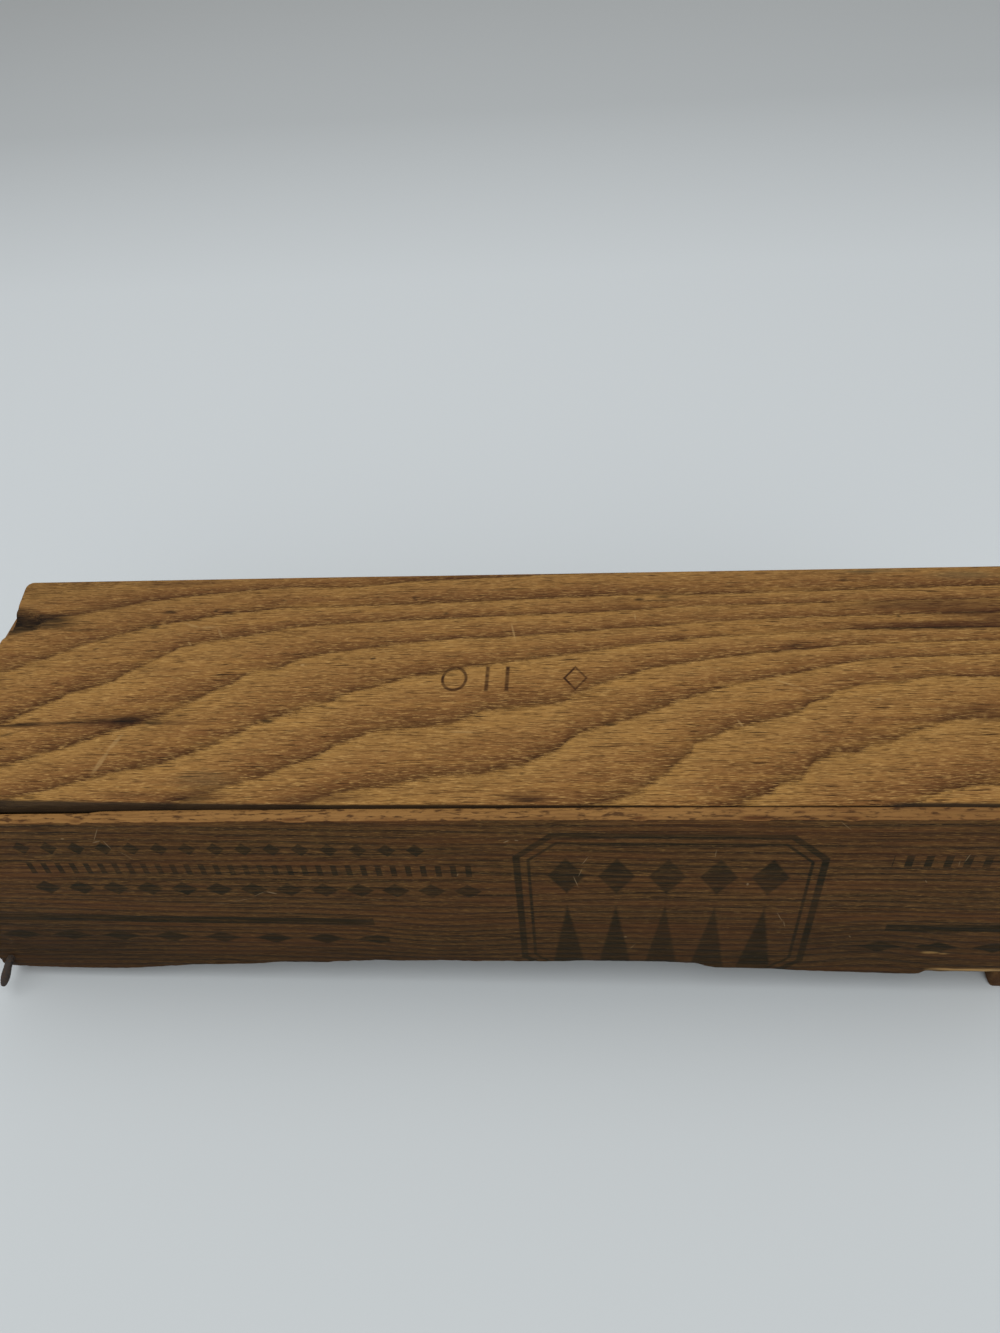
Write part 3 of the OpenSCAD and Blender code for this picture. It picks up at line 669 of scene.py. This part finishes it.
# The top edge was hidden until the bottom board shrank: it is paler at the left end
edge_up = add(tree, "MapRange", {0: dark_pine.facing["Z"], 1: 0.22, 2: 0.5})
rubbed = add(tree, "Math", {
    0: edge_up,
    1: add(tree, "MapRange", {0: dark_pine.grain(5.0, 0.5, 3.0), 1: 0.36, 2: 0.55, 3: 0.35, 4: 0.8}),
}, operation="MULTIPLY")
dark_pine.cover(rubbed, "#5F3A20")
pale = add(tree, "MapRange", {0: dark_pine.axis["X"], 1: 190.0, 2: 290.0, 3: 0.9, 4: 0.5})
pale = add(tree, "Math", {
    0: pale,
    1: add(tree, "MapRange", {0: dark_pine.grain(9.0, 0.6, 3.0), 1: 0.34, 2: 0.5, 3: 0.5, 4: 1.0}),
}, operation="MULTIPLY")
inner_half = add(tree, "Math", {
    0: add(tree, "MapRange", {0: dark_pine.facing["Z"], 1: 0.55, 2: 0.85}),
    1: pale,
}, operation="MULTIPLY")
dark_pine.cover(inner_half, "#8F693B")
flecks = add(tree, "MapRange", {0: dark_pine.grain(3.2, 0.7, 4.0), 1: 0.47, 2: 0.36, 4: 0.85})
dark_pine.cover(add(tree, "Math", {0: edge_up, 1: flecks}, operation="MULTIPLY"), "#3F2817")
dark_pine.stain("#1A110B", (
    (26.0, 1.9, 0.6, 0.4, 0, 0.9), (33.5, 1.2, 0.5, 0.35, 0, 0.8), (41.0, 1.6, 0.7, 0.4, 0, 0.8),
), where=edge_up)
dark_pine.end_grain("X", 0.5, 0.85, 0.7)
dark_pine.finish(front_side, "front_side", proud=0.00022, rough=(0.8, 0.62))

# The back side: the same thin board, nailed on the same way. It still reaches the rim, but a sliver
# has split off its upper edge, so that edge is hidden behind the bottom board.
SLIVER_DEEP = 3.2


def split_back(p):
    x, y, z = p.T.copy()
    fray = value_noise(x / 11, y / 0.9, 31) - 0.5 + 0.4 * (value_noise(x / 2.1, y / 0.7, 32) - 0.5)
    top = CRATE_H - SLIVER_DEEP + 0.9 * fray
    inward = smooth(2, 8, x) * (1 - smooth(CRATE_L - 8, CRATE_L - 2, x))
    low = 0.35 * value_noise(x / 15, y / 1.2, 34) * inward
    z = low + z / CRATE_H * (top - low)
    face = smooth(CRATE_W - 1.2, CRATE_W - 0.2, y)
    comb = 0.5 - 0.5 * np.cos(2 * np.pi * ridge_line(CRATE_L + 40 - x, z + 7))
    y = y - face * (0.12 * comb + 0.12 * value_noise(x / 40, z / 9, 35))
    for nail_x in SIDE_NAIL_X:
        for nail_z in SIDE_NAIL_Z:
            y = y - face * 0.4 * (1 - smooth(2.1, 3.4, np.hypot(x - nail_x, z - nail_z)))
    return np.stack([x, y, z], 1)


back_side, p = sawn_board(
    "back_side_pine",
    steps(0, CRATE_L, 1.0),
    steps(CRATE_W - SIDE_T, CRATE_W, 0.6),
    steps(0, CRATE_H, 0.7),
    0.3,
    split_back,
)
give_rings(back_side, ridge_line(CRATE_L + 40 - p[:, 0], p[:, 2] + 7))
back_pine = Pine("dark_pine_back", "XZY", DARK_BANDS, DARK_DASHES, "#4C361C", 0.4)
tree = back_pine.tree
back_pine.cover(
    add(tree, "MapRange", {0: back_pine.grain(70.0, 30.0, 3.0), 1: 0.45, 2: 0.7, 4: 0.5}),
    "#5C4329",
)
back_pine.stain("#241811", (
    (5, 20, 8, 6, 0, 0.6), (5, 37.5, 8, 6, 0, 0.6), (5, 55, 8, 6, 0, 0.6), (293, 20, 8, 6, 0, 0.6),
    (293, 37.5, 8, 6, 0, 0.6), (293, 55, 8, 6, 0, 0.6), (120, 44, 7, 2.4, 0, 0.8),
    (206, 24, 5, 1.8, 0, 0.7),
))
# The split edge is paler than the face
edge_up = add(tree, "MapRange", {0: back_pine.facing["Z"], 1: 0.45, 2: 0.8})
speckle = add(tree, "MapRange", {0: back_pine.grain(6.0, 0.9, 3.0), 1: 0.4, 2: 0.65, 3: 0.3, 4: 0.8})
back_pine.cover(add(tree, "Math", {0: edge_up, 1: speckle}, operation="MULTIPLY"), "#7A5A36")
back_pine.end_grain("X", 0.5, 0.85, 0.7)
back_pine.finish(back_side, "back_side", proud=0.0002, rough=(0.8, 0.62))

# The end boards: two pine boards 9.5 mm thick stand between the side boards and take all the nails.
# Their grain runs across the crate. The rim is worn round, with two holes left by the lid's nails.
END_H = CRATE_H - BOTTOM_T
RIM_R, CORNER_R = 3.0, 2.0
LID_HOLES_Y = (27.3, 67.7)
LID_HOLE_D, LID_HOLE_L = 1.8, 14.0
END_BANDS = ((0.0, "#7C5C38"), (0.4, "#775634"), (0.75, "#63452A"), (0.95, "#4A311D"), (1.0, "#785836"))
END_DASHES = (
    (8.0, 0.35, 0.43, 0.31, 0.7, "#402A18"),
    (20.0, 0.7, 0.45, 0.3, 0.5, "#513720"),
    (5.0, 0.3, 0.58, 0.72, 0.45, "#99784C"),
)
# The corner by the torn edge at the right end is bare: there the upright arris is worn round, the rim
# is worn less, and the wood has swollen out where no side board holds it
BARE_R, BARE_HIGH, BARE_SWELL, BARE_LOSS = 2.5, 8.0, 1.3, 1.3


def end_shape(start, seed):
    def worn_end(p):
        x, y, z = p.T.copy()
        bare = (1 - smooth(8, 20, y)) * (start > 0)
        # Both long arrises of the rim and its two corners are worn to a radius
        for side, low, high, radius in ((x, start, start + END_T, RIM_R - 1.2 * bare),
                                        (y, SIDE_T, CRATE_W - SIDE_T, CORNER_R - 1.3 * bare)):
            core = np.clip(side, low + radius, high - radius)
            out, down = side - core, np.minimum(z - radius, 0)
            far = np.maximum(np.hypot(out, down), 1e-6)
            pull = np.where((np.abs(out) > 0) & (down < 0), np.minimum(radius / far, 1), 1)
            side[:] = core + out * pull
            z = np.where(down < 0, radius + down * pull, z)
        if start > 0:
            in_x, in_y = start + BARE_R - x, SIDE_T + BARE_R - y
            far = np.maximum(np.hypot(in_x, in_y), 1e-6)
            low = 1 - smooth(BARE_HIGH, BARE_HIGH + 4, z)
            pull = np.where((in_x > 0) & (in_y > 0), np.minimum(BARE_R / far, 1), 1)
            pull = 1 + low * (pull - 1)
            x = np.where(in_x > 0, start + BARE_R - in_x * pull, x)
            y = np.where(in_y > 0, SIDE_T + BARE_R - in_y * pull, y)
            y = y - BARE_SWELL * (1 - smooth(5, BARE_HIGH, z)) * (1 - smooth(SIDE_T, 10, y))
            x = x + BARE_LOSS * (1 - smooth(BARE_HIGH, 14, z)) * bare * (start + END_T - x) / END_T
        wear = value_noise(y / 16, z / 9, seed) + 0.3 * value_noise(y / 3, z / 0.9, seed + 1)
        face = np.where(x > start + END_T / 2, -1, 1) * smooth(0.3, 1.5, np.minimum(z, END_H - z))
        edge = np.abs(x - start - END_T / 2) > END_T / 2 - 0.02
        x = x + edge * face * 0.14 * wear
        return np.stack([x, y, z], 1)
    return worn_end


# The rim gets finer steps than the rest, up to a little above its rounding
RIM_FINE, SIDE_GAP, HOLE_SIDES = 3.6, 0.02, 20
low_steps = np.concatenate([
    np.linspace(0, RIM_FINE, 12)[:-1],
    steps(RIM_FINE - ARRIS[-1], END_H, 0.8)[len(ARRIS) - 1:],
])
ENDS = (("left_end_pine", "left_end", 0.0, 41), ("right_end_pine", "right_end", CRATE_L - END_T, 51))
for name, node, start, seed in ENDS:
    end_board, p = sawn_board(
        name,
        steps(start, start + END_T, 0.6),
        steps(SIDE_T + SIDE_GAP, CRATE_W - SIDE_T - SIDE_GAP, 0.75),
        low_steps,
        0.3,
        end_shape(start, seed),
    )
    # A board from near the heart: the rings close in towards its middle
    height = p[:, 2] - 30 + 12 * (value_noise(p[:, 1] / 50, p[:, 2] / 60, seed + 2) - 0.5)
    far = np.hypot(height, 14 + 0.25 * np.abs(p[:, 1] - 60)) + 0.6 * (p[:, 0] - start)
    give_rings(end_board, far / 5.2 + 0.25 * value_noise(p[:, 1] / 14, p[:, 2] / 4, seed + 3))
    cutter = bpy.data.meshes.new("lid_nail_holes")
    points, faces = [], []
    for y in LID_HOLES_Y:
        low, high = len(points), len(points) + HOLE_SIDES
        for z in (-1.0, LID_HOLE_L):
            for i in range(HOLE_SIDES):
                a = 2 * math.pi * i / HOLE_SIDES
                across = (LID_HOLE_D / 2 * math.cos(a), LID_HOLE_D / 2 * math.sin(a), 0)
                points.append(tuple((np.array((start + END_T / 2, y, z)) + across + CORNER) / 1000))
        for i in range(HOLE_SIDES):
            after = (i + 1) % HOLE_SIDES
            faces.append((low + i, low + after, high + after, high + i))
        faces += [tuple(range(high - 1, low - 1, -1)), tuple(range(high, high + HOLE_SIDES))]
    cutter.from_pydata(points, [], faces)
    holes = bpy.data.objects.new("lid_nail_holes", cutter)
    bpy.context.scene.collection.objects.link(holes)
    drill = end_board.modifiers.new("lid_nail_holes", "BOOLEAN")
    drill.object = holes
    drill.solver = "EXACT"
    bpy.context.view_layer.update()
    shown = end_board.evaluated_get(bpy.context.evaluated_depsgraph_get())
    drilled = bpy.data.meshes.new_from_object(shown)
    end_board.modifiers.clear()
    end_board.data = drilled
    drilled.name = name
    bpy.data.objects.remove(holes)
    end_pine = Pine(name + "_wood", "YZX", END_BANDS, END_DASHES, "#6E4F30", 0.6)
    tree = end_pine.tree
    end_pine.stain("#2A1B11", (
        (20, 74, 30, 3.0, 0, 0.5), (60, 3, 40, 3.5, 0, 0.5), (33, 42, 3.5, 1.6, 0, 0.85),
        (71, 22, 2.4, 1.1, 0, 0.8), (4, 38, 4, 30, 0, 0.5), (91, 38, 4, 30, 0, 0.5),
    ))
    # Painted shade: the end boards' inner faces, inside the upturned crate, are painted darker towards
    # #33241A
    inside = add(tree, "Math", {
        0: end_pine.facing["X"],
        1: 1.0 if start == 0 else -1.0,
    }, operation="MULTIPLY")
    end_pine.cover(add(tree, "MapRange", {0: inside, 1: 0.3, 2: 0.8, 4: 0.45}), "#33241A")
    end_pine.end_grain("Y", 0.6, 0.9, 0.8)
    end_pine.finish(end_board, node, proud=0.00018, rough=(0.78, 0.6))

# The nails: wire nails, 2.2 x 22 mm with flat 4.2 mm heads, driven through the thin boards into the
# end boards. Bare iron, rusted dark brown all over, with the heads hammered a little out of true.
NAIL_R = 1.1
NAIL_PROFILE = ((0.0, 0.02), (0.7, 0.05), (1.4, 0.04), (1.85, -0.04), (2.05, -0.16), (2.1, -0.34),
                (2.02, -0.55), (1.75, -0.68), (1.2, -0.74), (1.1, -1.0), (1.1, -1.6), (1.04, -1.8),
                (1.1, -2.0), (1.1, -17.6), (0.45, -20.6), (0.0, -22.3))
SEGMENTS = 24
rust = bpy.data.materials.new("rusted_iron_wire")
rust.use_nodes = True
tree = rust.node_tree
spread = add(tree, "VectorMath", {0: add(tree, "TexCoord", output="Object"), 1: (1000, 1000, 1000)},
             operation="MULTIPLY")
pits = add(tree, "TexNoise", {"Vector": spread, "Scale": 1.6, "Detail": 6.0, "Roughness": 0.65})
patches = add(tree, "ValToRGB", {0: pits})
RUST_TONES = ((0.3, "#17130E"), (0.46, "#2A211A"), (0.58, "#3B2C1F"), (0.72, "#573F29"))
set_tones(patches.node.color_ramp, RUST_TONES)
# Only the dark patches still have a trace of metal in them
metal = add(tree, "MapRange", {0: pits, 1: 0.3, 2: 0.5, 3: 0.2, 4: 0.0})
dull = add(tree, "MapRange", {0: pits, 1: 0.3, 2: 0.6, 3: 0.55, 4: 0.9})
pitted = add(tree, "Bump", {"Strength": 0.9, "Distance": 0.0002, "Height": pits})
surface = tree.nodes["Principled BSDF"].inputs
for name, value in (("Base Color", patches), ("Metallic", metal), ("Roughness", dull), ("Normal", pitted)):
    tree.links.new(value, surface[name])


def lathe_nail(place, point, seed):
    """One nail with the middle of its head at place, driven along point; returns vertices and faces."""
    to = Vector(point).to_track_quat("-Z", "Y").to_matrix()
    random = np.random.default_rng(seed)
    lean, dent = random.uniform(-0.06, 0.06, 2), random.uniform(0.02, 0.07)
    points, faces = [], []
    for r, z in NAIL_PROFILE:
        for i in range(SEGMENTS):
            a = 2 * math.pi * i / SEGMENTS
            out = r * (1 + (dent * math.sin(3 * a + seed) if r > NAIL_R + 0.05 else 0))
            x, y = out * math.cos(a), out * math.sin(a)
            tip = z + (lean[0] * x + lean[1] * y if z > -0.8 else 0)
            points.append(Vector(place) + to @ Vector((x, y, tip)))
    for k in range(len(NAIL_PROFILE) - 1):
        for i in range(SEGMENTS):
            a, b = k * SEGMENTS + i, k * SEGMENTS + (i + 1) % SEGMENTS
            faces.append((a, a + SEGMENTS, b + SEGMENTS, b))
    return points, faces


NAIL_DROP = 0.22
# The two bottom nails at the back have sunk: one in the rot, one into the dark streak at the right
SUNK_DROP = {BOTTOM_NAIL_X[0]: PIT_DEEP, BOTTOM_NAIL_X[1]: 0.9}
nail_groups = (
    ("bottom_wire_nails", "bottom_nails", (0, 0, -1),
     [(x, y, CRATE_H - NAIL_DROP - (SUNK_DROP[x] if y == BOTTOM_NAIL_Y[2] else 0))
      for x in BOTTOM_NAIL_X for y in BOTTOM_NAIL_Y]),
    ("front_wire_nails", "front_nails", (0, 1, 0),
     [(x, NAIL_DROP, z) for x in SIDE_NAIL_X for z in SIDE_NAIL_Z
      if (x, z) != (SIDE_NAIL_X[0], SIDE_NAIL_Z[0])]),
    ("back_wire_nails", "back_nails", (0, -1, 0),
     [(x, CRATE_W - NAIL_DROP, z) for x in SIDE_NAIL_X for z in SIDE_NAIL_Z]),
)
for name, node, point, places in nail_groups:
    points, faces = [], []
    for i, place in enumerate(places):
        made, quads = lathe_nail(place, point, len(name) + 7 * i)
        faces += [tuple(len(points) + v for v in quad) for quad in quads]
        points += made
    mesh = bpy.data.meshes.new(name)
    mesh.from_pydata([tuple((np.array(v) + CORNER) / 1000) for v in points], [], faces)
    mesh.validate()
    mesh.shade_smooth()
    mesh.materials.append(rust)
    nails = bpy.data.objects.new(name, mesh)
    bpy.context.scene.collection.objects.link(nails)
    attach(nails, "root")
    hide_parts(node)

# The bent nail was half drawn from the left end board and bent down and to the left. The bend and
# the tail are swollen with rust, and the blunt end is rounded.
BENT_X, BENT_Z, BENT_OUT, BENT_GRIP = 4.2, 11.0, 0.6, 15.0
BEND_R, BEND_ANGLE, BEND_LEAN, BENT_TAIL = 2.4, 64.0, 24.0, 6.6
# The tail's radius by the share of its length
BENT_TAIL_R = ((0.0, 1.1), (0.2, 1.25), (0.5, 1.3), (0.8, 1.1), (0.95, 0.85), (1.0, 0.6), (1.03, 0.3),
               (1.04, 0.02))
BENT_SHAFT_R = ((BENT_GRIP + SIDE_T + BENT_OUT, 0.05), (BENT_GRIP, NAIL_R), (8.0, NAIL_R), (3.5, NAIL_R),
                (0.0, NAIL_R))
lean = math.radians(BEND_LEAN)
outward, upward = Vector((0, -1, 0)), Vector((math.sin(lean), 0, math.cos(lean)))
start = Vector((BENT_X, -BENT_OUT, BENT_Z))
route = [(start - outward * back, outward, radius) for back, radius in BENT_SHAFT_R]
for i in range(1, 13):
    a = math.radians(BEND_ANGLE * i / 12)
    way = outward * math.cos(a) - upward * math.sin(a)
    off = upward * (math.cos(a) - 1) + outward * math.sin(a)
    route.append((start + off * BEND_R, way, NAIL_R))
bend_end, way, _ = route[-1]
for share in np.concatenate([np.linspace(0.06, 0.9, 15), np.linspace(0.92, 1.04, 9)]):
    radius = float(np.interp(share, *zip(*BENT_TAIL_R)))
    route.append((bend_end + way * BENT_TAIL * float(share), way, radius))
sideways = outward.cross(upward).normalized()
points, faces = [], []
random = np.random.default_rng(5)
for middle, way, radius in route:
    swell = radius * (1 + random.uniform(-0.05, 0.05))
    across = sideways.cross(way).normalized()
    for i in range(SEGMENTS):
        a = 2 * math.pi * i / SEGMENTS
        points.append(middle + swell * (sideways * math.cos(a) + across * math.sin(a)))
for k in range(len(route) - 1):
    for i in range(SEGMENTS):
        a, b = k * SEGMENTS + i, k * SEGMENTS + (i + 1) % SEGMENTS
        faces.append((a, b, b + SEGMENTS, a + SEGMENTS))
faces += [tuple(range(SEGMENTS - 1, -1, -1)), tuple(range(len(points) - SEGMENTS, len(points)))]
mesh = bpy.data.meshes.new("bent_wire_nail")
mesh.from_pydata([tuple((np.array(v) + CORNER) / 1000) for v in points], [], faces)
mesh.validate()
mesh.shade_smooth()
mesh.materials.append(rust)
bent_nail = bpy.data.objects.new("bent_wire_nail", mesh)
bpy.context.scene.collection.objects.link(bent_nail)
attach(bent_nail, "root")
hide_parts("bent_nail")
